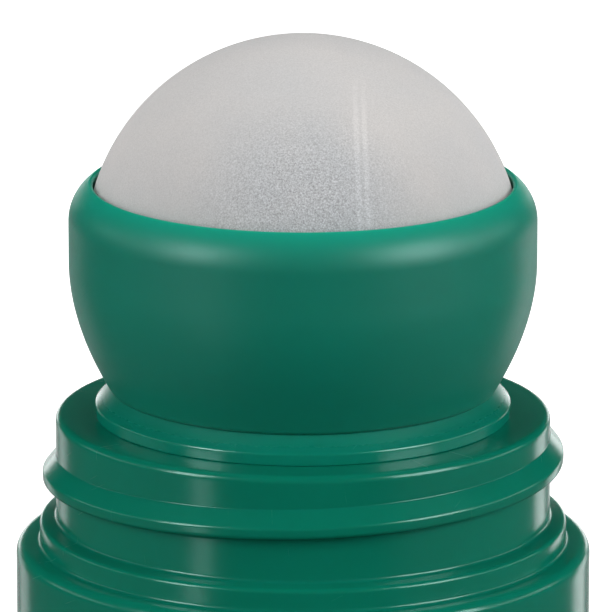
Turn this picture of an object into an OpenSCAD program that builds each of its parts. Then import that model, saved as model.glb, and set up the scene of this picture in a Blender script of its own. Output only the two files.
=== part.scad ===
// Roll-on bottle: a threaded bottle, a ball housing snapped into its neck and a hollow rolling ball.
// Millimetres, +Z up, origin at the centre of the base on the surface that it stands on.

/* [Ball] */
// Outside diameter of the rolling ball
ball_d = 35.5; // [28:0.1:44]
// Wall of the hollow ball
ball_wall = 1.4; // [1:0.1:2.5]
// Running clearance between the ball and its cup
ball_gap = 0.2; // [0.12:0.01:0.4]

/* [Ball housing] */
// Wall of the cup at its upright side
bulb_wall = 1.12; // [0.9:0.01:1.6]
// Rounding of the cup's shoulder, between the lip's crest and the upright side
bulb_round = 3.7; // [3:0.1:5]
// Depth below the ball's centre at which the upright side starts to draw in
bulb_side_drop = 0.8; // [0:0.05:1.5]
// Angle above the ball's centre at which the retaining lip ends
lip_angle = 18; // [14:0.1:22]
// Height of the lip's rounded crest above its inner edge
lip_round = 0.24; // [0.2:0.01:0.6]
// Distance from the lip's inner edge out to its crest
lip_crest_w = 0.3; // [0.1:0.01:0.5]
// Angle below the ball's centre at which the cup ends on its foot
foot_angle = 38.5; // [34:0.1:42]
// Wall of the cup at its foot
foot_wall = 1.75; // [1.4:0.05:2.6]
// Undercut where the cup sits on the flare
foot_step = 0.2; // [0.1:0.05:0.5]
// How far the flare stands out past the cup's foot
flare_out = 1.2; // [0.8:0.05:2]
// Height of the flare
flare_h = 1.25; // [0.9:0.05:2]
// Height of the flange's upright edge
flange_h = 1.05; // [0.8:0.05:1.6]
// Rounding of the flange's upper edge
flange_round = 0.3; // [0.1:0.05:0.5]
// Radius of the feed opening under the ball
feed_r = 11.4; // [9:0.1:12.5]
// Wall of the seat web under the ball
web_t = 1.4; // [1:0.1:1.8]
// Number of feed notches in the seat
notch_count = 6; // [3:1:8]
// Width of a feed notch
notch_w = 1.8; // [1:0.1:2.5]
// Depth of a feed notch, outwards from the opening
notch_depth = 1.2; // [0.8:0.1:1.6]

/* [Snap plug] */
// Width of the flange that rests on the neck
flange_seat = 1.15; // [0.9:0.05:1.6]
// Clearance between the plug and the neck's mouth
plug_gap = 0.05; // [0.03:0.01:0.15]
// Wall of the plug
plug_wall = 1.2; // [0.9:0.05:1.6]
// Length of the plug below the flange
plug_h = 7.5; // [6:0.1:10]
// How far the snap bead stands out
snap_out = 0.5; // [0.3:0.05:0.8]
// Height of the snap bead's retaining slope
snap_slope_h = 0.4; // [0.3:0.05:0.7]
// Height of the snap bead's flat
snap_flat_h = 0.5; // [0.3:0.05:0.8]
// Height of the snap bead's lead-in
snap_lead_h = 1.5; // [1:0.1:2]
// Chamfer on the plug's end
plug_chamfer = 0.4; // [0.2:0.05:0.6]

/* [Neck] */
// Width of the ledge on top of the neck, from its mouth to its outside
ledge_w = 4.4; // [3.4:0.05:5.5]
// Thickness of the ledge
ledge_t = 1.6; // [1.2:0.05:2.2]
// Height of the neck, from the shoulder to the ledge
neck_h = 10.8; // [9:0.1:14]
// Wall of the neck
neck_wall = 1.5; // [1.2:0.05:2]
// Rounding of the ledge's outer edge
ledge_round = 0.55; // [0.3:0.05:0.9]
// Rounding inside the neck, under the ledge
neck_inner_round = 1.0; // [0.5:0.1:1.4]

/* [Thread] */
// Pitch of the thread
thread_pitch = 3.175; // [2.5:0.005:3.6]
// Number of turns, with their run-outs
thread_turns = 1.05; // [0.8:0.01:1.2]
// How far the thread stands out of the neck
thread_depth = 1.1; // [0.7:0.01:1.4]
// Width of the thread at its root
thread_w = 2.55; // [1.8:0.01:2.6]
// Width of the thread's flat crest
thread_crest = 0.8; // [0.5:0.01:1.1]
// Height of the steep underside
thread_under_h = 0.4; // [0.2:0.05:0.6]
// Drop of the thread's middle, at the front, below the ledge
thread_drop = 3.9; // [3.6:0.05:4.2]

/* [Bead] */
// How far the bead stands out of the neck
bead_out = 1.35; // [0.8:0.05:2]
// Height of the bead above the shoulder
bead_h = 2.1; // [1.5:0.05:2.6]
// Fall of the bead's top towards its edge
bead_fall = 0.25; // [0.1:0.05:0.5]
// Rounding of the bead's edge
bead_round = 0.35; // [0.2:0.05:0.6]

/* [Body] */
// Height of the body, from the base to the shoulder
body_h = 58; // [45:0.5:90]
// Width of the shoulder outside the bead
shoulder_w = 1.95; // [1.3:0.05:5]
// Rounding of the shoulder
shoulder_round = 0.85; // [0.5:0.05:1.2]
// Wall of the body
body_wall = 1.3; // [1:0.05:2]
// Rounding of the heel
heel_round = 3; // [2:0.1:5]
// Width of the flat ring that the bottle stands on
stand_w = 1.6; // [1:0.1:3]
// Depth of the hollow in the base
push_up = 2.2; // [1:0.1:4]
// Thickness of the base
base_t = 1.6; // [1.2:0.1:2.5]

/* [Hidden] */
$fn = 96;
green = "#12705B";
frosted = "#C8C8C4";
arc_steps = 8;
curve_steps = 14;
// Overrun of every cut
over = 0.05;
// How the cup's lower side draws in
draw_in_power = 1.9;

// Ball and cup, measured from the ball's centre
ball_r = ball_d / 2;
cup_r = ball_r + ball_gap;
bulb_r = cup_r + bulb_wall;
lip_r = cup_r * cos(lip_angle);
lip_z = cup_r * sin(lip_angle);
crest_r = lip_r + lip_crest_w;
crest_z = lip_z + lip_round;
bulb_top_deg = acos(max(0, 1 - (bulb_r - crest_r) / bulb_round));
bulb_round_z = crest_z - bulb_round * sin(bulb_top_deg);
foot_z = -cup_r * sin(foot_angle);
foot_r = cup_r * cos(foot_angle) + foot_wall;
flare_z = foot_z - flare_h;
flange_r = foot_r + flare_out;
flange_z = flare_z - flange_h;
web_r = cup_r + web_t;

// Plug and neck
mouth_r = flange_r - flange_seat;
plug_r = mouth_r - plug_gap;
plug_inner_r = plug_r - plug_wall;
neck_r = mouth_r + ledge_w;
bead_r = neck_r + bead_out;
body_r = bead_r + shoulder_w;
ledge_z = body_h + neck_h;
ball_z = ledge_z - flange_z;
stand_r = body_r - heel_round - stand_w;

// Thread: its step and run-outs in degrees, and the share of its section left at the ends
thread_step_deg = 5;
thread_fade_deg = 26;
thread_end_share = 0.15;
thread_sink = neck_wall / 3;
thread_bevel = thread_depth / 5;

// Points on a circle about c, from angle a0 to a1
function arc(c, r, a0, a1, n = arc_steps) =
    [for (i = [0:n]) let (a = a0 + (a1 - a0) * i / n) c + r * [cos(a), sin(a)]];

// The lip's edge, a quarter ellipse from the cup's inside up to the crest
function lip_edge() =
    [for (i = [0:curve_steps]) let (a = 90 * i / curve_steps)
        [crest_r - (lip_crest_w + over) * cos(a), lip_z + lip_round * sin(a)]];

// The cup's shoulder, an arc from the lip's crest down to the upright side
function cup_shoulder() =
    [for (i = [1:curve_steps]) let (a = bulb_top_deg * (1 - i / curve_steps))
        [bulb_r - bulb_round * (1 - cos(a)), bulb_round_z + bulb_round * sin(a)]];

// Height of the hollow in the base at radius r: level at the centre and at the standing ring
function hollow(r) = push_up * pow(1 - pow(r / stand_r, 2), 2);

// The cup's lower side: it leaves the upright side smoothly and draws in by a power of the depth
function cup_side() =
    [for (i = [0:curve_steps]) let (u = i / curve_steps)
        [bulb_r - (bulb_r - foot_r) * pow(u, draw_in_power),
         -bulb_side_drop + (foot_z + bulb_side_drop) * u]];

// Outline of the housing about the ball's centre, before the ball's space is cut out of it
function housing_outline() = concat(
    [[feed_r, lip_z]],
    lip_edge(),
    cup_shoulder(),
    cup_side(),
    [[foot_r - foot_step, foot_z]],
    arc([flange_r - flange_round, flare_z - flange_round], flange_round, 50, 0),
    [[flange_r, flange_z], [plug_r, flange_z]],
    snap_bead(flange_z - ledge_t - plug_gap),
    [[plug_r, flange_z - plug_h + plug_chamfer],
     [plug_r - plug_chamfer, flange_z - plug_h],
     [plug_inner_r, flange_z - plug_h]],
    web_underside());

// The ring that catches under the ledge, with its top at z
function snap_bead(z) = [
    [plug_r, z],
    [plug_r + snap_out, z - snap_slope_h],
    [plug_r + snap_out, z - snap_slope_h - snap_flat_h],
    [plug_r, z - snap_slope_h - snap_flat_h - snap_lead_h]];

// The web under the ball is a wall of even thickness, so its underside is a circle about the ball's centre
function web_underside() = arc([0, 0], web_r, -acos(plug_inner_r / web_r), -acos(feed_r / web_r));

// Outside of the bottle, from the middle of the base up to the mouth
function bottle_outside() = concat(
    [for (i = [0:curve_steps]) let (r = stand_r * i / curve_steps) [r, hollow(r)]],
    arc([body_r - heel_round, heel_round], heel_round, -90, 0),
    arc([body_r - shoulder_round, body_h - shoulder_round], shoulder_round, 0, 90),
    [[bead_r, body_h]],
    arc([bead_r - bead_round, body_h + bead_h - bead_fall - bead_round], bead_round, 0, 80),
    [[neck_r, body_h + bead_h]],
    arc([neck_r - ledge_round, ledge_z - ledge_round], ledge_round, 0, 90),
    [[mouth_r, ledge_z]]);

// Inside of the bottle, from the mouth down to the middle of the base
function bottle_inside() =
    let (neck_in = neck_r - neck_wall, body_in = body_r - body_wall, top_in = ledge_z - ledge_t,
         heel_in = heel_round - body_wall, shoulder_in = shoulder_round + body_wall,
         roof = body_h - body_wall)
    concat(
        [[mouth_r, top_in]],
        arc([neck_in - neck_inner_round, top_in - neck_inner_round], neck_inner_round, 90, 0),
        [[neck_in, roof]],
        arc([body_in - shoulder_in + body_wall, roof - shoulder_in + body_wall],
            shoulder_in - body_wall, 90, 0),
        arc([body_in - heel_in, base_t + heel_in], heel_in, 0, -90),
        [for (i = [curve_steps:-1:0]) let (r = stand_r * i / curve_steps) [r, base_t + hollow(r)]]);

// Section of the thread: a sloped top, a flat crest and a steep underside. Both flanks run on straight
// into the neck's wall, so that no corner of the section lies on the neck's surface.
function thread_section() =
    let (up = thread_w / 2, low = thread_under_h - up, high = low + thread_crest, out = thread_depth,
         flank_out = out - thread_bevel, flank_top = high + thread_bevel,
         top_run = (up - flank_top) / flank_out, under_run = thread_under_h / flank_out)
    [[-thread_sink, up + top_run * thread_sink], [flank_out, flank_top],
     [out, high - thread_bevel / 2], [out, low + thread_bevel], [flank_out, low],
     [-thread_sink, -up - under_run * thread_sink]];

// The thread winds up to the right, and its run-outs draw in until they are under the neck's surface
module thread() {
    steps = ceil(thread_turns * 360 / thread_step_deg);
    half = thread_turns * 180;
    rings = [for (i = [0:steps])
        let (a = -half + 2 * half * i / steps,
             fade = min(1, (half - abs(a)) / thread_fade_deg),
             rise = thread_end_share + (1 - thread_end_share) * sin(90 * fade))
        [for (p = thread_section())
            let (r = neck_r - thread_sink + (p[0] + thread_sink) * rise)
            [r * sin(a), -r * cos(a), p[1] + thread_pitch * a / 360]]];
    count = len(rings[0]);
    points = [for (ring = rings) each ring];
    sides = [for (i = [0:steps - 1], j = [0:count - 1])
        let (k = (j + 1) % count, a = i * count, b = a + count)
        each [[a + j, b + j, b + k], [a + j, b + k, a + k]]];
    ends = [[for (j = [0:count - 1]) j], [for (j = [count - 1:-1:0]) steps * count + j]];
    translate([0, 0, ledge_z - thread_drop]) polyhedron(points, concat(sides, ends));
}

module bottle() {
    color(green) union() {
        rotate_extrude() polygon(concat(bottle_outside(), bottle_inside()));
        thread();
    }
}

module ball_housing() {
    color(green) translate([0, 0, ball_z]) difference() {
        rotate_extrude() polygon(housing_outline());
        sphere(cup_r);
        for (i = [0:notch_count - 1])
            rotate([0, 0, 360 * i / notch_count])
                translate([0, -notch_w / 2, -web_r])
                    cube([feed_r + notch_depth, notch_w, web_r]);
    }
}

module ball() {
    color(frosted) translate([0, 0, ball_z]) difference() {
        sphere(ball_r);
        sphere(ball_r - ball_wall);
    }
}

bottle();
ball_housing();
ball();
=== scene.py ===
"""Roll-on bottle: a green bottle and ball housing, and a ground ball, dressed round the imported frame.

Lengths are in metres and +Z is up. The bottle stands on its axis, and the front is towards -Y.
"""
import math
from types import SimpleNamespace

import bmesh
import bpy
import numpy as np
from bpy.props import FloatProperty, FloatVectorProperty, IntProperty, PointerProperty
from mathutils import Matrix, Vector


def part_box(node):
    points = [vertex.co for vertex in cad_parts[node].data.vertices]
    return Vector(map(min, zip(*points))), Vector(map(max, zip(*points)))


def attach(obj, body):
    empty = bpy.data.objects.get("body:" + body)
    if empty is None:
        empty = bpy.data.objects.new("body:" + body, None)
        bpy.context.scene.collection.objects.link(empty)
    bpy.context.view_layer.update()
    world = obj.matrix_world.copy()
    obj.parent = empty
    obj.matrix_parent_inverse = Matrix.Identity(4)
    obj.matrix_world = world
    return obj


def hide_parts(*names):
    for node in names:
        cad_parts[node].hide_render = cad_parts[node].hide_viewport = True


bl_info = {
    "name": "Roll-on bottle",
    "version": (1, 0, 0),
    "blender": (4, 5, 0),
    "location": "3D View > Sidebar > Roll-on",
    "description": "Makes a threaded bottle with its ball housing and rolling ball, their finishes and a studio",
    "category": "Add Mesh",
}

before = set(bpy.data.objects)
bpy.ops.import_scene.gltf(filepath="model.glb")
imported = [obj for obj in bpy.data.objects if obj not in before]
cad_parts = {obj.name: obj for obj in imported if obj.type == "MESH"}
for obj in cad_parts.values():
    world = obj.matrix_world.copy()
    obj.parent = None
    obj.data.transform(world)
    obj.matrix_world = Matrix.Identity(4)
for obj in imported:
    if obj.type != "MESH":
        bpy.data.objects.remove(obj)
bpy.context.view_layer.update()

MM = 0.001
# Columns round the axis, the same on every turned piece, so that their edges meet
COLUMNS = 288
# Steps round a rounded corner, and points along a curved stretch of an outline
CORNER_STEPS = 6
CURVE_STEPS = 48
# Share of a corner's radius, on each side of it, at which one more row keeps the flat beside it flat
LEAD_SHARE = 0.4
# Points nearer than this are one point
MERGE = 1e-7
# The least length and the least sine that anything is divided by
LEAST_LENGTH = 1e-12
LEAST_SINE = 1e-9


def length(name, description, millimetres):
    """A length property, given in millimetres and kept in metres."""
    return FloatProperty(name=name, description=description, default=millimetres * MM, min=0,
                         unit="LENGTH", precision=5)


def number(name, description, value, **options):
    """A plain number property."""
    return FloatProperty(name=name, description=description, default=value, **options)


def linear(hex_colour):
    """An sRGB hex colour as linear red, green, blue and a full alpha."""
    shares = [int(hex_colour[i:i + 2], 16) / 255 for i in (1, 3, 5)]
    return (*(s / 12.92 if s <= 0.04045 else ((s + 0.055) / 1.055) ** 2.4 for s in shares), 1.0)


def colour(name, description, hex_colour):
    """A colour property, given as an sRGB hex value and kept linear."""
    return FloatVectorProperty(name=name, description=description, default=linear(hex_colour),
                               size=4, min=0, max=1, subtype="COLOR")


class BottleSizes(bpy.types.PropertyGroup):
    """Sizes of the bottle. Its outside width and height come from the frame."""
    shoulder_w: length("Shoulder width", "Shoulder outside the bead", 1.95)
    shoulder_round: length("Shoulder rounding", "Radius between the shoulder and the body", 0.85)
    bead_out: length("Bead depth", "How far the bead stands out of the neck", 1.35)
    bead_h: length("Bead height", "Height of the bead above the shoulder", 2.1)
    bead_fall: length("Bead fall", "Fall of the bead's top towards its edge", 0.25)
    bead_round: length("Bead rounding", "Radius of the bead's edge", 0.35)
    ledge_w: length("Ledge width", "From the mouth to the neck's outside", 4.4)
    ledge_t: length("Ledge thickness", "Thickness of the ledge on top of the neck", 1.6)
    ledge_round: length("Ledge rounding", "Radius of the ledge's outer edge", 0.55)
    neck_h: length("Neck height", "From the shoulder to the ledge", 10.8)
    neck_wall: length("Neck wall", "Wall of the neck", 1.5)
    neck_inner_round: length("Inner rounding", "Radius inside the neck, under the ledge", 1.0)
    foot_round: length("Foot rounding", "Radius in the corners at the foot of the bead and of the neck", 0.3)
    root_round: length("Root rounding", "Radius in the corners at the foot of the thread and inside", 0.14)
    thread_pitch: length("Thread pitch", "Rise of the thread in one turn", 3.175)
    thread_turns: number("Thread turns", "Number of turns, with their run-outs", 1.05)
    thread_fade: number("Thread run-out", "Turns over which each end of the thread fades", 0.072)
    thread_depth: length("Thread depth", "How far the thread stands out of the neck", 1.1)
    thread_w: length("Thread width", "Width of the thread at its root", 2.55)
    thread_crest: length("Thread crest", "Width of the thread's flat crest", 0.8)
    thread_under_h: length("Thread underside", "Height of the thread's steep underside", 0.4)
    thread_round: length("Thread rounding", "Radius of the thread's edges", 0.4)
    thread_drop: length("Thread drop", "From the ledge down to the thread's middle, at the front", 3.9)
    body_wall: length("Body wall", "Wall of the body", 1.3)
    heel_round: length("Heel rounding", "Radius between the body and the base", 3)
    stand_w: length("Standing ring", "Width of the flat ring that the bottle stands on", 1.6)
    push_up: length("Push-up", "Depth of the hollow in the base", 2.2)
    base_t: length("Base thickness", "Thickness of the base", 1.6)


class HousingSizes(bpy.types.PropertyGroup):
    """Sizes of the ball housing, which is placed about the frame's ball."""
    ball_gap: length("Running clearance", "Gap between the ball and its cup", 0.2)
    bulb_wall: length("Cup wall", "Wall of the cup at its upright side", 1.12)
    bulb_round: length("Cup shoulder", "Radius between the lip's crest and the cup's upright side", 3.7)
    bulb_side_drop: length("Side depth", "Depth below the ball's centre at which the side starts to draw in", 0.8)
    draw_in: number("Draw-in power", "How late the cup's lower side draws in", 1.9)
    lip_angle: number("Lip angle", "Angle above the ball's centre at which the lip ends", math.radians(18),
                      unit="ROTATION")
    lip_round: length("Lip rounding", "Height of the lip's rounded crest above its inner edge", 0.24)
    lip_crest_w: length("Lip crest", "From the lip's inner edge out to its crest", 0.3)
    foot_angle: number("Foot angle", "Angle below the ball's centre at which the cup ends on its foot",
                       math.radians(38.5), unit="ROTATION")
    foot_wall: length("Foot wall", "Wall of the cup at its foot", 1.75)
    foot_step: length("Foot step", "Undercut where the cup sits on the flare", 0.2)
    flare_out: length("Flare width", "How far the flare stands out past the cup's foot", 1.2)
    flare_h: length("Flare height", "Height of the flare", 1.25)
    flange_h: length("Flange height", "Height of the flange's upright edge", 1.05)
    flange_round: length("Flange rounding", "Radius of the flange's upper edge", 0.3)
    feed_r: length("Feed opening", "Radius of the feed opening under the ball", 11.4)
    web_t: length("Seat web", "Wall of the seat web under the ball", 1.4)
    notch_count: IntProperty(name="Feed notches", description="Number of feed notches in the seat", default=6, min=1)
    notch_w: length("Notch width", "Width of a feed notch", 1.8)
    notch_depth: length("Notch depth", "Depth of a feed notch, outwards from the opening", 1.2)
    plug_gap: length("Plug clearance", "Gap between the plug and the neck's mouth", 0.05)
    plug_wall: length("Plug wall", "Wall of the plug", 1.2)
    plug_h: length("Plug length", "Length of the plug below the flange", 7.5)
    plug_chamfer: length("Plug chamfer", "Chamfer on the plug's end", 0.4)
    snap_out: length("Snap bead", "How far the snap bead stands out", 0.5)
    snap_slope_h: length("Snap slope", "Height of the snap bead's retaining slope", 0.4)
    snap_flat_h: length("Snap flat", "Height of the snap bead's flat", 0.5)
    snap_lead_h: length("Snap lead-in", "Height of the snap bead's lead-in", 1.5)
    edge_round: length("Edge rounding", "Radius of the small moulded edges", 0.1)


class Finishes(bpy.types.PropertyGroup):
    """Colours and finishes."""
    bottle_green: colour("Bottle green", "Colour of the bottle's polypropylene", "#077962")
    housing_green: colour("Housing green", "Colour of the ball housing's polypropylene", "#087D68")
    # Painted glow: how much lighter the green is painted at the lip's crest, in place of the light through the thin
    # lip
    lip_painted_glow: number("Lip glow", "Brightness of the lip's thin edge, which more light comes through", 1.6)
    natural: colour("Natural", "Colour of the ground ball", "#CDCAC8")
    # Also the colour towards which the patch low on the ball's front is painted greyer, as painted shade
    natural_dense_and_shaded: colour("Natural, shaded", "Colour of the ball's denser patches", "#B8BBBE")
    bottle_roughness: number("Bottle roughness", "Roughness of the bottle's skin", 0.2)
    housing_roughness: number("Housing roughness", "Roughness of the ball housing's skin", 0.43)
    bottle_shine: number("Bottle shine", "Strength of the bottle's reflections, 0.5 for its plain index", 0.6)
    housing_shine: number("Housing shine", "Strength of the housing's reflections, 0.5 for its plain index", 0.72)
    ball_roughness: number("Ball roughness", "Roughness of the ground ball", 0.8)
    grain: length("Grain", "Width of the ground ball's grain", 0.13)
    # The two faint lighter streaks on the ball's front lean this far
    streak_lean: number("Track lean", "Lean of the tracks on the ball", math.radians(2.5), unit="ROTATION")
    # Where the patch of painted shade and painted glitter lies, low on the ball's front
    painted_patch_height: number("Coarse patch", "Angle above the ball's centre at which the coarse patch lies",
                         math.radians(23), unit="ROTATION")
    scratch_length: length("Scratch length", "Length of the fine handling scratches", 4)
    scratch_width: length("Scratch width", "Width of the fine handling scratches", 0.07)


class Studio(bpy.types.PropertyGroup):
    """Camera, floor and lamps."""
    camera_distance: length("Camera distance", "From the camera to the middle of the view", 600)
    camera_height: number("Camera elevation", "Angle of the camera above the horizon", math.radians(14.3),
                          unit="ROTATION")
    view_width: length("View width", "Width of the view at the bottle", 49.9)
    view_drop: length("View drop", "From the ball's centre down to the middle of the view", 4.62)
    view_side: length("View offset", "From the bottle's axis across to the middle of the view", 0.245)
    floor: colour("Floor", "Colour of the floor", "#E8E8E6")
    ambient: number("Ambient light", "Strength of the world's light", 0.19)


# Every lamp is a rectangle that faces the bottle. Its row gives its azimuth to the right of the front and its
# elevation in degrees, its distance, width and height in millimetres, and its radiance. The fills only light the
# bottle, and it mirrors all the others
LAMPS = {
    "softbox_left": (-55, 23, 560, 180, 300, 6.5),
    "softbox_right": (60, 23, 560, 300, 300, 5.5),
    "strip_left": (-44.5, -19, 160, 24, 34, 1.2),
    "edge_left": (-143, -15, 160, 34, 60, 0.65),
    "edge_right": (139, -15, 160, 40, 60, 1.25),
    "panel_left": (-100, 14, 560, 400, 130, 0.7),
    "panel_right": (100, 14, 560, 400, 130, 1.15),
    "backdrop": (180, -0.5, 900, 800, 150, 1.6),
    "fill_left": (-80, 25, 560, 300, 300, 0.8),
    "fill_right": (100, 0, 560, 400, 180, 0.4),
    "fill_front": (0, 0, 560, 500, 200, 1.15),
    "fill_top": (180, 76, 560, 260, 260, 4.0),
}
# A rectangular lamp's energy for each unit of its radiance and area
ENERGY_SHARE = 4
# Half the floor's width, and how far the camera sees
FLOOR_HALF = 4.0
CAMERA_REACH = 20


def places():
    """Radii and heights that follow from the frame and the driving sizes, as in the part's source.

    The housing's heights are taken from the ball's centre, and the others from the base.
    """
    bottle, housing = bpy.context.scene.roll_on_bottle, bpy.context.scene.roll_on_housing
    ball_low, ball_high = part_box("ball")
    bottle_low, bottle_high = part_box("bottle")
    p = SimpleNamespace()
    p.ball_r = (ball_high.z - ball_low.z) / 2
    p.ball_z = (ball_high.z + ball_low.z) / 2
    p.cup_r = p.ball_r + housing.ball_gap
    p.web_r = p.cup_r + housing.web_t
    p.bulb_r = p.cup_r + housing.bulb_wall
    p.lip_r = p.cup_r * math.cos(housing.lip_angle)
    p.lip_z = p.cup_r * math.sin(housing.lip_angle)
    p.crest_r = p.lip_r + housing.lip_crest_w
    p.crest_z = p.lip_z + housing.lip_round
    p.foot_r = p.cup_r * math.cos(housing.foot_angle) + housing.foot_wall
    p.foot_z = -p.cup_r * math.sin(housing.foot_angle)
    p.flare_z = p.foot_z - housing.flare_h
    p.flange_r = p.foot_r + housing.flare_out
    p.flange_z = p.flare_z - housing.flange_h
    p.body_r = max(bottle_high.x, bottle_high.y)
    p.bead_r = p.body_r - bottle.shoulder_w
    p.neck_r = p.bead_r - bottle.bead_out
    p.mouth_r = p.neck_r - bottle.ledge_w
    p.plug_r = p.mouth_r - housing.plug_gap
    p.plug_inner_r = p.plug_r - housing.plug_wall
    p.ledge_z = bottle_high.z
    p.body_h = p.ledge_z - bottle.neck_h
    p.neck_foot_z = p.body_h + bottle.bead_h
    p.stand_r = p.body_r - bottle.heel_round - bottle.stand_w
    return p


def unit(vectors):
    """Each vector divided by its length."""
    return vectors / np.maximum(np.linalg.norm(vectors, axis=-1, keepdims=True), LEAST_LENGTH)


def rounded(corners):
    """Outline from rows of (r, z, radius) with every corner turned into an arc.

    The arc touches both sides of its corner at radius / tan(half the inner angle). Its points are the centre plus
    the vector to the first touching point swung evenly to the second, which is the sine-weighted mean of the two.
    One more row stands off each touching point. Points that fall together are left out.
    """
    corners = np.asarray(corners, float)
    point, radius = corners[:, :2], corners[1:-1, 2:]
    corner = point[1:-1]
    back, on = unit(point[:-2] - corner), unit(point[2:] - corner)
    half = np.arccos(np.clip((back * on).sum(1, keepdims=True), -1, 1)) / 2
    reach = radius / np.tan(half)
    centre = corner + unit(back + on) * radius / np.sin(half)
    start, end = corner + back * reach, corner + on * reach
    turn = np.pi - 2 * half
    t = np.linspace(0, 1, CORNER_STEPS + 1)[:, None, None]
    swing = np.sin((1 - t) * turn) * (start - centre) + np.sin(t * turn) * (end - centre)
    arcs = centre + swing / np.maximum(np.sin(turn), LEAST_SINE)
    lead = radius * LEAD_SHARE
    rows = np.concatenate([(start + back * lead)[None], arcs, (end + on * lead)[None]])
    outline = np.concatenate([point[:1], rows.transpose(1, 0, 2).reshape(-1, 2), point[-1:]])
    step = np.linalg.norm(np.diff(outline, axis=0), axis=1)
    return outline[np.concatenate([[True], step > MERGE])]


def curve(r, z):
    """Rows of (r, z, 0): a stretch of outline that is smooth already."""
    return np.column_stack([r, z, np.zeros_like(r)])


def angles():
    """The columns' angles to the right of the front, in radians."""
    return 2 * np.pi * np.arange(COLUMNS) / COLUMNS


def turned(r, z):
    """Points at radius r and height z of each row and column: x = r sin(angle), y = -r cos(angle)."""
    a = angles()
    return np.stack(np.broadcast_arrays(r * np.sin(a), -r * np.cos(a), z), axis=-1)


def between_rows(lower, upper):
    """Four-cornered faces between two grids of point numbers, each of which closes on itself sideways."""
    faces = np.stack([lower, np.roll(lower, -1, axis=1), np.roll(upper, -1, axis=1), upper], axis=-1)
    return faces.reshape(-1, 4)


def revolved(r, z):
    """Surface of a grid of radii and heights, one row of the grid for each row of an outline."""
    points = turned(r, z)
    at = np.arange(points.shape[0] * COLUMNS).reshape(-1, COLUMNS)
    return points.reshape(-1, 3), between_rows(at[:-1], at[1:])


def closed_mesh(name, surfaces):
    """One smooth mesh of surfaces that share their edges: shared points merged, and all faces turned outwards."""
    starts = np.cumsum([0] + [len(points) for points, _ in surfaces[:-1]])
    points = np.concatenate([points for points, _ in surfaces])
    faces = np.concatenate([faces + start for (_, faces), start in zip(surfaces, starts)])
    mesh = bpy.data.meshes.new(name)
    mesh.from_pydata(points, [], faces.tolist())
    shell = bmesh.new()
    shell.from_mesh(mesh)
    bmesh.ops.remove_doubles(shell, verts=shell.verts, dist=MERGE)
    bmesh.ops.recalc_face_normals(shell, faces=shell.faces)
    shell.to_mesh(mesh)
    shell.free()
    mesh.shade_smooth()
    return mesh


def add_piece(name, mesh, material, body, node):
    """Puts a finished mesh into the scene on its body, in place of the frame's node."""
    mesh.materials.append(material)
    piece = bpy.data.objects.new(name, mesh)
    bpy.context.scene.collection.objects.link(piece)
    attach(piece, body)
    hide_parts(node)


def neck_wall(sizes, p, low, high):
    """The neck's outside with its thread, as one ribbon a pitch wide that is wound round the axis.

    Column n stands n columns round from the front and n / COLUMNS pitches up, so the ribbon's upper edge is its
    lower edge one turn later. A row's radius is the neck's plus the thread's section times the run-out, and the
    run-out is a quarter sine over the fade at each end. Points beyond low or high are held there on the bare neck,
    and faces without height are left out.
    """
    up, out, under = sizes.thread_w / 2, sizes.thread_depth, sizes.thread_under_h
    section = rounded([
        (0, -sizes.thread_pitch / 2, 0),
        (0, -up, sizes.root_round),
        (out, under - up, sizes.thread_round),
        (out, under - up + sizes.thread_crest, sizes.thread_round),
        (0, up, sizes.root_round),
        (0, sizes.thread_pitch / 2, 0),
    ])[:-1]
    middle = p.ledge_z - sizes.thread_drop
    first = math.floor((low - middle) / sizes.thread_pitch - 0.5)
    last = math.ceil((high - middle) / sizes.thread_pitch + 0.5) + 1
    column = np.arange(first * COLUMNS, last * COLUMNS + 1)
    turns = column / COLUMNS
    fade = np.clip((sizes.thread_turns / 2 - np.abs(turns)) / sizes.thread_fade, 0, 1)
    rise = np.sin(np.pi / 2 * fade)
    wound = middle + sizes.thread_pitch * turns[:, None] + section[:, 1]
    z = np.clip(wound, low, high)
    r = p.neck_r + np.where(z == wound, rise[:, None] * section[:, 0], 0)
    a = angles()[column % COLUMNS][:, None]
    points = np.stack([r * np.sin(a), -r * np.cos(a), z], axis=-1)
    at = np.arange(r.size).reshape(r.shape)
    kept = at[:-COLUMNS]
    above = np.column_stack([kept[:, 1:], at[COLUMNS:, 0]])
    faces = np.stack([kept[:-1], kept[1:], above[1:], above[:-1]], axis=-1).reshape(-1, 4)
    heights = z.ravel()[faces]
    shown = (heights.max(1) > low) & (heights.min(1) < high)
    return points.reshape(-1, 3), faces[shown]


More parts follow.
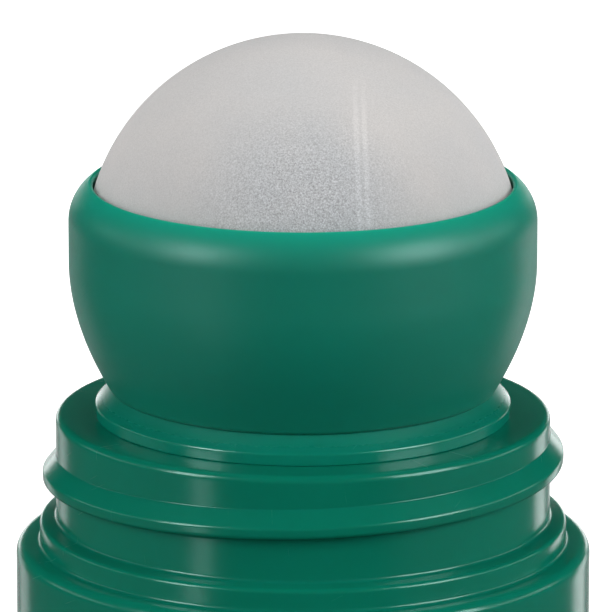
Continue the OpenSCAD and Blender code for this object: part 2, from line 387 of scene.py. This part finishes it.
def bottle_surfaces(sizes, p):
    """The bottle's outside from the middle of the base to the neck, the neck's wall, and the mouth and inside.

    The hollow under the base is push_up * (1 - (r / stand_r)^2)^2 deep, so it is level at its middle and its edge.
    """
    r = np.linspace(0, p.stand_r, CURVE_STEPS // 2)
    hollow = sizes.push_up * (1 - (r / p.stand_r) ** 2) ** 2
    # The thread's ribbon stops clear of the rounded corners below and above it
    low = p.neck_foot_z + 2 * sizes.foot_round
    high = p.ledge_z - 1.5 * sizes.ledge_round
    neck_in = p.neck_r - sizes.neck_wall
    body_in = p.body_r - sizes.body_wall
    roof = p.body_h - sizes.body_wall
    lower = rounded(np.vstack([
        curve(r, hollow),
        (p.body_r, 0, sizes.heel_round),
        (p.body_r, p.body_h, sizes.shoulder_round),
        (p.bead_r, p.body_h, sizes.foot_round),
        (p.bead_r, p.neck_foot_z - sizes.bead_fall, sizes.bead_round),
        (p.neck_r, p.neck_foot_z, sizes.foot_round),
        (p.neck_r, low, 0),
    ]))
    upper = rounded(np.vstack([
        (p.neck_r, high, 0),
        (p.neck_r, p.ledge_z, sizes.ledge_round),
        (p.mouth_r, p.ledge_z, sizes.root_round),
        (p.mouth_r, p.ledge_z - sizes.ledge_t, sizes.root_round),
        (neck_in, p.ledge_z - sizes.ledge_t, sizes.neck_inner_round),
        (neck_in, roof, sizes.root_round),
        (body_in, roof, sizes.shoulder_round),
        (body_in, sizes.base_t, sizes.heel_round - sizes.body_wall),
        curve(r, sizes.base_t + hollow)[::-1],
    ]))
    return [revolved(lower[:, :1], lower[:, 1:]), neck_wall(sizes, p, low, high),
            revolved(upper[:, :1], upper[:, 1:])]


def housing_outline(sizes, p):
    """The housing's closed outline about the ball's centre, from the cup's inside round by the plug to the lip.

    The cup's inside and the seat web are circles about the centre, and the outline starts and ends at middle_angle
    on the inside. The cup's lower side is bulb_r - (bulb_r - foot_r) * u^draw_in over the share u of its depth. Its
    shoulder is an arc that leaves the upright side smoothly and ends at the lip's crest, and the lip's edge is a
    quarter ellipse from there to the inside. The corners under the flange and at the cup's foot are sharper than the
    moulded edges.
    """
    middle_angle = -sizes.foot_angle / 2
    feed_in, feed_out = -math.acos(sizes.feed_r / p.cup_r), -math.acos(sizes.feed_r / p.web_r)
    cup_down = np.linspace(middle_angle, feed_in, CURVE_STEPS // 2)
    web = np.linspace(feed_out, -math.acos(p.plug_inner_r / p.web_r), CURVE_STEPS // 4)
    cup_up = np.linspace(sizes.lip_angle, middle_angle, CURVE_STEPS // 2)

    snap_z = p.flange_z - bpy.context.scene.roll_on_bottle.ledge_t - sizes.plug_gap
    snap_r = p.plug_r + sizes.snap_out
    flat_z = snap_z - sizes.snap_slope_h
    lead_z = flat_z - sizes.snap_flat_h
    plug_z = p.flange_z - sizes.plug_h
    edge = sizes.edge_round

    u = np.linspace(0, 1, CURVE_STEPS)
    side_r = p.bulb_r - (p.bulb_r - p.foot_r) * u ** sizes.draw_in
    side_z = -sizes.bulb_side_drop + (p.foot_z + sizes.bulb_side_drop) * u
    shoulder = np.linspace(0, math.acos(1 - (p.bulb_r - p.crest_r) / sizes.bulb_round), CURVE_STEPS)
    shoulder_r = p.bulb_r - sizes.bulb_round * (1 - np.cos(shoulder))
    shoulder_z = p.crest_z - sizes.bulb_round * math.sin(shoulder[-1]) + sizes.bulb_round * np.sin(shoulder)
    quarter = u[::4] * np.pi / 2
    lip_r = p.crest_r - sizes.lip_crest_w * np.sin(quarter)
    lip_z = p.lip_z + sizes.lip_round * np.cos(quarter)
    return rounded(np.vstack([
        curve(p.cup_r * np.cos(cup_down), p.cup_r * np.sin(cup_down)),
        curve(p.web_r * np.cos(web), p.web_r * np.sin(web)),
        (p.plug_inner_r, plug_z, edge),
        (p.plug_r - sizes.plug_chamfer, plug_z, edge),
        (p.plug_r, plug_z + sizes.plug_chamfer, edge),
        (p.plug_r, lead_z - sizes.snap_lead_h, edge),
        (snap_r, lead_z, edge),
        (snap_r, flat_z, edge),
        (p.plug_r, snap_z, edge),
        (p.plug_r, p.flange_z, edge / 2),
        (p.flange_r, p.flange_z, edge),
        (p.flange_r, p.flare_z - edge, sizes.flange_round),
        (p.foot_r - sizes.foot_step, p.foot_z, edge / 4),
        curve(side_r, side_z)[::-1],
        curve(shoulder_r, shoulder_z),
        curve(lip_r, lip_z)[1:],
        curve(p.cup_r * np.cos(cup_up), p.cup_r * np.sin(cup_up)),
    ]))


def housing_surfaces(sizes, p):
    """The outline carried round the axis, with the feed notches cut into the seat web's inner edge.

    In a notch, each point of the web turns outwards about the ball's centre, which keeps both faces of the web
    round. The turn is full at the opening's edge and fades evenly over twice the notch's depth. The notch's sides
    take up one column.
    """
    outline = housing_outline(sizes, p)
    distance = np.hypot(outline[:, :1], outline[:, 1:])
    slope = np.arctan2(outline[:, 1:], outline[:, :1])
    edge_slope = -math.acos(sizes.feed_r / p.web_r)
    depth = sizes.notch_depth / p.cup_r / abs(math.sin(edge_slope))
    on_web = (distance < p.web_r + MERGE) & (slope < -sizes.foot_angle)
    fade = np.where(on_web, np.clip(1 - (slope - edge_slope) / (2 * depth), 0, 1), 0)
    notch_turn = 2 * np.pi / sizes.notch_count
    from_notch = np.abs((angles() + notch_turn / 2) % notch_turn - notch_turn / 2)
    half_width = sizes.notch_w / 2 / (sizes.feed_r + sizes.notch_depth / 2)
    column_turn = 2 * np.pi / COLUMNS
    notch = np.clip((half_width - from_notch) / column_turn + 0.5, 0, 1)
    slope = slope + depth * fade * notch
    return [revolved(distance * np.cos(slope), p.ball_z + distance * np.sin(slope))]


def ball_surfaces(p):
    """A sphere with its poles on the X axis, which the housing covers: x = R cos(t), and a ring of R sin(t).

    The rings are turned about Z first, and then X and Z change places.
    """
    t = np.linspace(0, np.pi, COLUMNS // 2)[:, None]
    rings = turned(p.ball_r * np.sin(t), p.ball_r * np.cos(t))
    points = rings[..., [2, 1, 0]] + np.array([0, 0, p.ball_z])
    at = np.arange(t.size * COLUMNS).reshape(-1, COLUMNS)
    return [(points.reshape(-1, 3), between_rows(at[:-1], at[1:]))]


def add_node(tree, kind, inputs=None, **options):
    """Adds a node, sets its options, and fills its inputs: a socket is linked and anything else is a value."""
    made = tree.nodes.new(kind)
    for name, value in options.items():
        setattr(made, name, value)
    for key, value in (inputs or {}).items():
        if isinstance(value, bpy.types.NodeSocket):
            tree.links.new(value, made.inputs[key])
        else:
            made.inputs[key].default_value = value
    return made


def new_material(name):
    """An empty node material and its tree."""
    material = bpy.data.materials.new(name)
    material.use_nodes = True
    material.node_tree.nodes.clear()
    return material, material.node_tree


def round_the_axis(tree, radius):
    """Object coordinates, and the same unrolled from the axis: along the girth at that radius, and up."""
    place = add_node(tree, "ShaderNodeTexCoord").outputs["Object"]
    split = add_node(tree, "ShaderNodeSeparateXYZ", {0: place}).outputs
    back = add_node(tree, "ShaderNodeMath", {0: split["Y"], 1: -1.0}, operation="MULTIPLY").outputs[0]
    angle = add_node(tree, "ShaderNodeMath", {0: split["X"], 1: back}, operation="ARCTAN2").outputs[0]
    girth = add_node(tree, "ShaderNodeMath", {0: angle, 1: radius}, operation="MULTIPLY").outputs[0]
    return place, add_node(tree, "ShaderNodeCombineXYZ", {"X": girth, "Z": split["Z"]}).outputs[0]


# Refractive index of polypropylene
IOR = 1.49

# Soft clouds and waves, left where the melt flowed and shrank, and how much they change the green
FLOW_WIDTH = 9 * MM
FLOW_HEIGHT = 0.03 * MM
FLOW_SHADE = 0.04

# Fine unevenness of the moulded skin, and how much it changes the roughness
SKIN_WIDTH = 0.5 * MM
SKIN_ROUGHNESS = 0.03

# Two sets of handling scratches, which lean this far off upright. A scratch starts where the noise passes the first
# value and is full at the second, so that few show, and it is this much rougher than the skin and this deep
SCRATCH_LEANS = (math.radians(8), math.radians(-62))
SCRATCH_START, SCRATCH_FULL = 0.76, 0.86
SCRATCH_ROUGHNESS = 0.08
SCRATCH_DEPTH = 0.0025 * MM

# The lip's painted glow, a lighter green in place of the light that comes through the thin lip, starts this far
# above the ball's centre, and rises with this power of the height
PAINTED_GLOW_START = 1 * MM
PAINTED_GLOW_POWER = 4.0

# The green masterbatch tints what the skin mirrors and lets this share of the light inside, where red, green and blue
# travel these shares of the scale
GREEN_TINT = "#DCFFFC"
GREEN_INSIDE = 0.6
GREEN_TRAVEL = (0.3, 1.0, 0.7)
GREEN_TRAVEL_SCALE = 1 * MM


def moulded_polypropylene(name, green, roughness, shine, radius, p, finishes):
    """Moulded polypropylene with a green masterbatch.

    To the eye: an even, deep colour, a semi-gloss skin that blurs what it mirrors, slight waves from shrinkage in the
    mould, and fine scratches from handling that catch the light. Towards the lip's crest the colour is painted
    lighter, a painted glow in place of the light that comes through the thin lip. Real scratches are narrower, and
    these are drawn as wide as they need to show. Below the flare every piece has the bottle's roughness, because the
    housing's flange is as polished as the bottle, and above it has its own.
    """
    material, tree = new_material(name)
    place, unrolled = round_the_axis(tree, radius)
    height = add_node(tree, "ShaderNodeSeparateXYZ", {0: place}).outputs["Z"]
    flow = add_node(tree, "ShaderNodeTexNoise", {
        "Vector": place, "Scale": 1 / FLOW_WIDTH, "Detail": 2.0}).outputs[0]
    skin = add_node(tree, "ShaderNodeTexNoise", {
        "Vector": place, "Scale": 1 / SKIN_WIDTH, "Detail": 3.0}).outputs[0]

    stretch = (1 / finishes.scratch_width, 0, 1 / finishes.scratch_length)
    marks = []
    for lean in SCRATCH_LEANS:
        lines = add_node(tree, "ShaderNodeMapping", {"Vector": unrolled, "Rotation": (0, lean, 0)}).outputs[0]
        lines = add_node(tree, "ShaderNodeMapping", {"Vector": lines, "Scale": stretch}).outputs[0]
        lines = add_node(tree, "ShaderNodeTexNoise", {"Vector": lines, "Scale": 1.0, "Detail": 0.0}).outputs[0]
        marks.append(add_node(tree, "ShaderNodeMapRange", {
            "Value": lines, "From Min": SCRATCH_START, "From Max": SCRATCH_FULL}).outputs[0])
    scratches = add_node(tree, "ShaderNodeMath", {0: marks[0], 1: marks[1]}, operation="MAXIMUM").outputs[0]

    # Painted glow: the green is painted lighter towards the lip's crest, in place of the light through the thin lip
    thin = add_node(tree, "ShaderNodeMapRange", {
        "Value": height, "From Min": p.ball_z + PAINTED_GLOW_START, "From Max": p.ball_z + p.crest_z}).outputs[0]
    thin = add_node(tree, "ShaderNodeMath", {0: thin, 1: PAINTED_GLOW_POWER}, operation="POWER").outputs[0]
    glow = add_node(tree, "ShaderNodeMapRange", {
        "Value": thin, "To Min": 1.0, "To Max": finishes.lip_painted_glow}).outputs[0]
    shade = add_node(tree, "ShaderNodeMapRange", {
        "Value": flow, "To Min": 1 - FLOW_SHADE, "To Max": 1 + FLOW_SHADE}).outputs[0]
    shade = add_node(tree, "ShaderNodeMath", {0: shade, 1: glow}, operation="MULTIPLY").outputs[0]
    shade = add_node(tree, "ShaderNodeHueSaturation", {"Color": green, "Value": shade}).outputs[0]

    uneven = add_node(tree, "ShaderNodeMapRange", {
        "Value": skin, "To Min": -SKIN_ROUGHNESS, "To Max": SKIN_ROUGHNESS}).outputs[0]
    rough = add_node(tree, "ShaderNodeMapRange", {
        "Value": height, "From Min": p.ball_z + p.flare_z, "From Max": p.ball_z + p.foot_z,
        "To Min": finishes.bottle_roughness, "To Max": roughness}).outputs[0]
    rough = add_node(tree, "ShaderNodeMath", {0: rough, 1: uneven}).outputs[0]
    rough = add_node(tree, "ShaderNodeMath", {
        0: scratches, 1: SCRATCH_ROUGHNESS, 2: rough}, operation="MULTIPLY_ADD").outputs[0]

    waves = add_node(tree, "ShaderNodeBump", {
        "Height": flow, "Strength": 1.0, "Distance": FLOW_HEIGHT}).outputs[0]
    relief = add_node(tree, "ShaderNodeBump", {
        "Height": scratches, "Strength": 1.0, "Distance": SCRATCH_DEPTH, "Normal": waves}, invert=True).outputs[0]
    shader = add_node(tree, "ShaderNodeBsdfPrincipled", {
        "Base Color": shade, "Roughness": rough, "Normal": relief, "IOR": IOR,
        "Specular IOR Level": shine, "Specular Tint": linear(GREEN_TINT),
        "Subsurface Weight": GREEN_INSIDE, "Subsurface Radius": GREEN_TRAVEL,
        "Subsurface Scale": GREEN_TRAVEL_SCALE}).outputs[0]
    add_node(tree, "ShaderNodeOutputMaterial", {"Surface": shader})
    return material


# The ball's soft clouds. Nearly all of their noise lies between these two values, and they give these two shares of
# the paler tone
CLOUD_WIDTH = 9 * MM
CLOUD_LOW, CLOUD_HIGH = 0.3, 0.7
CLOUD_PALE, CLOUD_DENSE = 0.95, 0.6

# The patch of painted shade and painted glitter is full this near its middle and gone this far from it, and its
# painted shade takes this share of the paler tone away
PAINTED_PATCH_FULL, PAINTED_PATCH_GONE = 2 * MM, 11 * MM
PATCH_PAINTED_SHADE = 0.6

# The two lighter streaks run this far to the right of the ball's middle. Each is full this near its own middle and
# gone this far from it, both are full this near the patch's middle and gone this far from it, and they are this much
# brighter
STREAK_OFFSETS = (4.8 * MM, 5.45 * MM)
STREAK_FULL, STREAK_GONE = 0.08 * MM, 0.32 * MM
REACH_FULL, REACH_GONE = 8 * MM, 15 * MM
STREAK_BRIGHTER = 0.12

# The grain's noise lies about this middle, speckles the colour of most of the ball and of the patch this strongly,
# the latter as painted glitter, and is this high
GRAIN_MIDDLE = 0.5
SPECKS_FINE, SPECKS_PAINTED_GLITTER = 0.45, 2.0
GRAIN_HEIGHT = 0.03 * MM

# Uncoloured polypropylene reflects this strongly where it is ground, and lets this share of the light inside, where
# red, green and blue travel these shares of the scale
GROUND_SHINE = 0.35
NATURAL_INSIDE = 0.8
NATURAL_TRAVEL = (1.0, 0.97, 0.95)
NATURAL_TRAVEL_SCALE = 4 * MM


def ground_polypropylene(name, p, finishes):
    """Natural polypropylene, uncoloured and ground round between plates.

    To the eye: a milky white-grey that light soaks into, so that its shades are soft, under a fine matt grain. A
    patch low on the front is painted greyer, as painted shade, and its grain is speckled more strongly, as painted
    glitter.
    Two faint lighter streaks run upright near it.
    The real grain is finer than a pixel of the render, and this one is drawn as coarse as it needs to show.
    """
    material, tree = new_material(name)
    place = add_node(tree, "ShaderNodeTexCoord").outputs["Object"]
    grain = add_node(tree, "ShaderNodeTexNoise", {
        "Vector": place, "Scale": 1 / finishes.grain, "Detail": 2.0, "Roughness": 0.7}).outputs[0]
    cloud = add_node(tree, "ShaderNodeTexNoise", {
        "Vector": place, "Scale": 1 / CLOUD_WIDTH, "Detail": 2.0}).outputs[0]

    # The patch of painted shade and painted glitter, low on the ball's front
    painted_patch_middle = p.ball_r * direction(0, finishes.painted_patch_height) + Vector((0, 0, p.ball_z))
    off = add_node(tree, "ShaderNodeVectorMath", {
        0: place, 1: painted_patch_middle}, operation="DISTANCE").outputs["Value"]
    patch = add_node(tree, "ShaderNodeMapRange", {
        "Value": off, "From Min": PAINTED_PATCH_GONE, "From Max": PAINTED_PATCH_FULL}, interpolation_type="SMOOTHSTEP").outputs[0]

    # Two faint lighter streaks run upright, near the patch
    lean = Vector((math.cos(finishes.streak_lean), 0, math.sin(finishes.streak_lean)))
    across = add_node(tree, "ShaderNodeVectorMath", {
        0: place, 1: lean}, operation="DOT_PRODUCT").outputs["Value"]
    streaks = []
    for offset in STREAK_OFFSETS:
        gap = add_node(tree, "ShaderNodeMath", {
            0: across, 1: offset + p.ball_z * lean.z}, operation="SUBTRACT").outputs[0]
        gap = add_node(tree, "ShaderNodeMath", {0: gap}, operation="ABSOLUTE").outputs[0]
        streaks.append(add_node(tree, "ShaderNodeMapRange", {
            "Value": gap, "From Min": STREAK_GONE, "From Max": STREAK_FULL},
            interpolation_type="SMOOTHSTEP").outputs[0])
    streak = add_node(tree, "ShaderNodeMath", {0: streaks[0], 1: streaks[1]}, operation="MAXIMUM").outputs[0]
    reach = add_node(tree, "ShaderNodeMapRange", {
        "Value": off, "From Min": REACH_GONE, "From Max": REACH_FULL}, interpolation_type="SMOOTHSTEP").outputs[0]
    streak = add_node(tree, "ShaderNodeMath", {0: streak, 1: reach}, operation="MULTIPLY").outputs[0]

    pale = add_node(tree, "ShaderNodeMapRange", {
        "Value": cloud, "From Min": CLOUD_LOW, "From Max": CLOUD_HIGH,
        "To Min": CLOUD_PALE, "To Max": CLOUD_DENSE}).outputs[0]
    # Painted shade: the patch takes part of the paler tone away
    pale = add_node(tree, "ShaderNodeMath", {
        0: patch, 1: -PATCH_PAINTED_SHADE, 2: pale}, operation="MULTIPLY_ADD").outputs[0]
    tone = add_node(tree, "ShaderNodeMix", {
        "Factor": pale, "A": finishes.natural_dense_and_shaded, "B": finishes.natural}, data_type="RGBA").outputs["Result"]
    # Painted glitter: the grain speckles the colour more strongly on the patch
    strength = add_node(tree, "ShaderNodeMapRange", {
        "Value": patch, "To Min": SPECKS_FINE, "To Max": SPECKS_PAINTED_GLITTER}).outputs[0]
    speck = add_node(tree, "ShaderNodeMath", {0: grain, 1: GRAIN_MIDDLE}, operation="SUBTRACT").outputs[0]
    speck = add_node(tree, "ShaderNodeMath", {
        0: speck, 1: strength, 2: 1.0}, operation="MULTIPLY_ADD").outputs[0]
    speck = add_node(tree, "ShaderNodeMath", {
        0: streak, 1: STREAK_BRIGHTER, 2: speck}, operation="MULTIPLY_ADD").outputs[0]
    tone = add_node(tree, "ShaderNodeHueSaturation", {"Color": tone, "Value": speck}).outputs[0]

    relief = add_node(tree, "ShaderNodeBump", {
        "Height": grain, "Strength": 1.0, "Distance": GRAIN_HEIGHT}).outputs[0]
    shader = add_node(tree, "ShaderNodeBsdfPrincipled", {
        "Base Color": tone, "Roughness": finishes.ball_roughness, "Normal": relief, "IOR": IOR,
        "Specular IOR Level": GROUND_SHINE,
        "Subsurface Weight": NATURAL_INSIDE, "Subsurface Radius": NATURAL_TRAVEL,
        "Subsurface Scale": NATURAL_TRAVEL_SCALE}).outputs[0]
    add_node(tree, "ShaderNodeOutputMaterial", {"Surface": shader})
    return material


# The light that the camera sees in the card itself is least this near the bottle and most this far from it
CARD_NEAR, CARD_FAR = 60 * MM, 170 * MM
CARD_LEAST, CARD_MOST = 0.3, 0.9

# What the bottle mirrors in place of the card, by the angle off straight behind it: a white strip, which is full and
# gone at these angles and fades in between these distances, then a grey cloth, and a black one, which starts and is
# full at these angles
STRIP_FULL, STRIP_GONE = math.radians(12), math.radians(28)
STRIP_NEAR, STRIP_FAR = 60 * MM, 200 * MM
BLACK_START, BLACK_FULL = math.radians(125), math.radians(150)
GREY_CLOTH, BLACK_CLOTH = "#606060", "#1C1C1C"


def studio_floor(name, tone):
    """Matt pale card, which the camera sees lit from within, so that it is white where no shadow falls.

    That light is weak near the bottle, which keeps its shadow, and strong further out. The bottle is lit by the card
    and mirrors it as if a grey cloth lay round it and a black one before it, with a white strip behind.
    """
    material, tree = new_material(name)
    ray = add_node(tree, "ShaderNodeLightPath").outputs
    seen = add_node(tree, "ShaderNodeMath", {
        0: ray["Is Camera Ray"], 1: ray["Is Transmission Ray"]}, operation="MAXIMUM").outputs[0]
    place = add_node(tree, "ShaderNodeTexCoord").outputs["Object"]
    split = add_node(tree, "ShaderNodeSeparateXYZ", {0: place}).outputs
    aside = add_node(tree, "ShaderNodeMath", {0: split["X"]}, operation="ABSOLUTE").outputs[0]
    off_back = add_node(tree, "ShaderNodeMath", {0: aside, 1: split["Y"]}, operation="ARCTAN2").outputs[0]

    strip = add_node(tree, "ShaderNodeMapRange", {
        "Value": off_back, "From Min": STRIP_GONE, "From Max": STRIP_FULL},
        interpolation_type="SMOOTHSTEP").outputs[0]
    away = add_node(tree, "ShaderNodeMapRange", {
        "Value": split["Y"], "From Min": STRIP_NEAR, "From Max": STRIP_FAR},
        interpolation_type="SMOOTHSTEP").outputs[0]
    strip = add_node(tree, "ShaderNodeMath", {0: strip, 1: away}, operation="MULTIPLY").outputs[0]
    mirrored = add_node(tree, "ShaderNodeMath", {
        0: ray["Is Glossy Ray"], 1: strip}, operation="MULTIPLY").outputs[0]
    from_axis = add_node(tree, "ShaderNodeVectorMath", {0: place}, operation="LENGTH").outputs["Value"]
    within = add_node(tree, "ShaderNodeMapRange", {
        "Value": from_axis, "From Min": CARD_NEAR, "From Max": CARD_FAR,
        "To Min": CARD_LEAST, "To Max": CARD_MOST}, interpolation_type="SMOOTHSTEP").outputs[0]
    glow = add_node(tree, "ShaderNodeMath", {
        0: seen, 1: within, 2: mirrored}, operation="MULTIPLY_ADD").outputs[0]

    before = add_node(tree, "ShaderNodeMapRange", {
        "Value": off_back, "From Min": BLACK_START, "From Max": BLACK_FULL},
        interpolation_type="SMOOTHSTEP").outputs[0]
    cloth = add_node(tree, "ShaderNodeMix", {
        "Factor": before, "A": linear(GREY_CLOTH), "B": linear(BLACK_CLOTH)}, data_type="RGBA").outputs["Result"]
    cover = add_node(tree, "ShaderNodeMix", {
        "Factor": seen, "A": cloth, "B": tone}, data_type="RGBA").outputs["Result"]
    matt = add_node(tree, "ShaderNodeBsdfDiffuse", {"Color": cover}).outputs[0]
    lit = add_node(tree, "ShaderNodeEmission", {"Strength": glow}).outputs[0]
    both = add_node(tree, "ShaderNodeAddShader", {0: matt, 1: lit}).outputs[0]
    add_node(tree, "ShaderNodeOutputMaterial", {"Surface": both})
    return material


def light_the_world(ambient):
    """White behind everything for the camera, an even dim light for the surfaces, and dark in reflections."""
    world = bpy.data.worlds.new("studio_world")
    world.use_nodes = True
    tree = world.node_tree
    tree.nodes.clear()
    ray = add_node(tree, "ShaderNodeLightPath").outputs
    seen = add_node(tree, "ShaderNodeMath", {
        0: ray["Is Camera Ray"], 1: ray["Is Transmission Ray"]}, operation="MAXIMUM").outputs[0]
    dim = add_node(tree, "ShaderNodeMapRange", {
        "Value": ray["Is Glossy Ray"], "To Min": ambient, "To Max": 0.0}).outputs[0]
    strength = add_node(tree, "ShaderNodeMix", {"Factor": seen, "A": dim, "B": 1.0}, data_type="FLOAT").outputs[0]
    light = add_node(tree, "ShaderNodeBackground", {"Strength": strength}).outputs[0]
    add_node(tree, "ShaderNodeOutputWorld", {"Surface": light})
    bpy.context.scene.world = world


def direction(azimuth, elevation):
    """Unit vector at an azimuth to the right of the front and an elevation, both in radians."""
    flat = math.cos(elevation)
    return Vector((math.sin(azimuth) * flat, -math.cos(azimuth) * flat, math.sin(elevation)))


def place_facing(thing, target, towards, distance):
    """Stands a lamp or camera off its target, facing it."""
    thing.location = target + towards * distance
    thing.rotation_euler = towards.to_track_quat("Z", "Y").to_euler()
    bpy.context.scene.collection.objects.link(thing)


class ROLLON_OT_bottle(bpy.types.Operator):
    """Make the threaded bottle"""
    bl_idname = "rollon.bottle"
    bl_label = "Bottle"

    def execute(self, context):
        p, finishes = places(), context.scene.roll_on_finishes
        mesh = closed_mesh("bottle_shell", bottle_surfaces(context.scene.roll_on_bottle, p))
        skin = moulded_polypropylene(
            "moulded_polypropylene_bottle", finishes.bottle_green, finishes.bottle_roughness,
            finishes.bottle_shine, p.neck_r, p, finishes)
        add_piece("bottle_shell", mesh, skin, "bottle_body", "bottle")
        return {"FINISHED"}


class ROLLON_OT_housing(bpy.types.Operator):
    """Make the ball housing with its lip, seat web and snap plug"""
    bl_idname = "rollon.housing"
    bl_label = "Ball housing"

    def execute(self, context):
        p, finishes = places(), context.scene.roll_on_finishes
        mesh = closed_mesh("housing_shell", housing_surfaces(context.scene.roll_on_housing, p))
        skin = moulded_polypropylene(
            "moulded_polypropylene_housing", finishes.housing_green, finishes.housing_roughness,
            finishes.housing_shine, p.bulb_r, p, finishes)
        add_piece("housing_shell", mesh, skin, "bottle_body", "ball_housing")
        return {"FINISHED"}


class ROLLON_OT_ball(bpy.types.Operator):
    """Make the rolling ball"""
    bl_idname = "rollon.ball"
    bl_label = "Ball"

    def execute(self, context):
        p = places()
        mesh = closed_mesh("rolling_ball_skin", ball_surfaces(p))
        skin = ground_polypropylene("ground_polypropylene", p, context.scene.roll_on_finishes)
        add_piece("rolling_ball_skin", mesh, skin, "rolling_ball", "ball")
        return {"FINISHED"}


class ROLLON_OT_stage(bpy.types.Operator):
    """Make the floor, the lamps, the world and the camera"""
    bl_idname = "rollon.stage"
    bl_label = "Stage"

    def execute(self, context):
        scene, studio, p = context.scene, context.scene.roll_on_studio, places()
        scene.view_settings.view_transform = "Standard"
        light_the_world(studio.ambient)

        half = FLOOR_HALF
        corners = [(-half, -half, 0), (half, -half, 0), (half, half, 0), (-half, half, 0)]
        mesh = bpy.data.meshes.new("studio_floor")
        mesh.from_pydata(corners, [], [(0, 1, 2, 3)])
        mesh.materials.append(studio_floor("matt_pale_card", studio.floor))
        floor = bpy.data.objects.new("studio_floor", mesh)
        scene.collection.objects.link(floor)

        target = Vector((studio.view_side, 0, p.ball_z - studio.view_drop))
        for name, (azimuth, elevation, distance, width, height, radiance) in LAMPS.items():
            lamp = bpy.data.lights.new(name, "AREA")
            lamp.shape = "RECTANGLE"
            lamp.size, lamp.size_y = width * MM, height * MM
            lamp.energy = radiance * ENERGY_SHARE * lamp.size * lamp.size_y
            lamp_object = bpy.data.objects.new(name, lamp)
            lamp_object.visible_camera = False
            lamp_object.visible_glossy = not name.startswith("fill")
            towards = direction(math.radians(azimuth), math.radians(elevation))
            place_facing(lamp_object, target, towards, distance * MM)

        camera = bpy.data.cameras.new("photo_camera")
        camera.lens = camera.sensor_width * studio.camera_distance / studio.view_width
        camera.clip_end = CAMERA_REACH
        camera_object = bpy.data.objects.new("photo_camera", camera)
        place_facing(camera_object, target, direction(0, studio.camera_height), studio.camera_distance)
        scene.camera = camera_object
        return {"FINISHED"}


class ROLLON_PT_sidebar(bpy.types.Panel):
    """Roll-on bottle"""
    bl_idname = "ROLLON_PT_sidebar"
    bl_label = "Roll-on bottle"
    bl_space_type = "VIEW_3D"
    bl_region_type = "UI"
    bl_category = "Roll-on"

    def draw(self, context):
        for operator in OPERATORS:
            self.layout.operator(operator.bl_idname)
        for name in SETTINGS:
            group = getattr(context.scene, name)
            box = self.layout.box()
            for setting in group.bl_rna.properties:
                if not setting.is_readonly and setting.identifier != "name":
                    box.prop(group, setting.identifier)


SETTINGS = {
    "roll_on_bottle": BottleSizes,
    "roll_on_housing": HousingSizes,
    "roll_on_finishes": Finishes,
    "roll_on_studio": Studio,
}
OPERATORS = (ROLLON_OT_stage, ROLLON_OT_bottle, ROLLON_OT_housing, ROLLON_OT_ball)


def register():
    """Makes the settings, the operators and the panel known to Blender."""
    for name, group in SETTINGS.items():
        bpy.utils.register_class(group)
        setattr(bpy.types.Scene, name, PointerProperty(type=group))
    for added in (*OPERATORS, ROLLON_PT_sidebar):
        bpy.utils.register_class(added)


def unregister():
    """Takes the panel, the operators and the settings away again."""
    for added in (ROLLON_PT_sidebar, *reversed(OPERATORS)):
        bpy.utils.unregister_class(added)
    for name, group in reversed(SETTINGS.items()):
        delattr(bpy.types.Scene, name)
        bpy.utils.unregister_class(group)


def main():
    """Makes the stage and every piece."""
    register()
    bpy.ops.rollon.stage()
    bpy.ops.rollon.bottle()
    bpy.ops.rollon.housing()
    bpy.ops.rollon.ball()


if __name__ == "__main__":
    main()
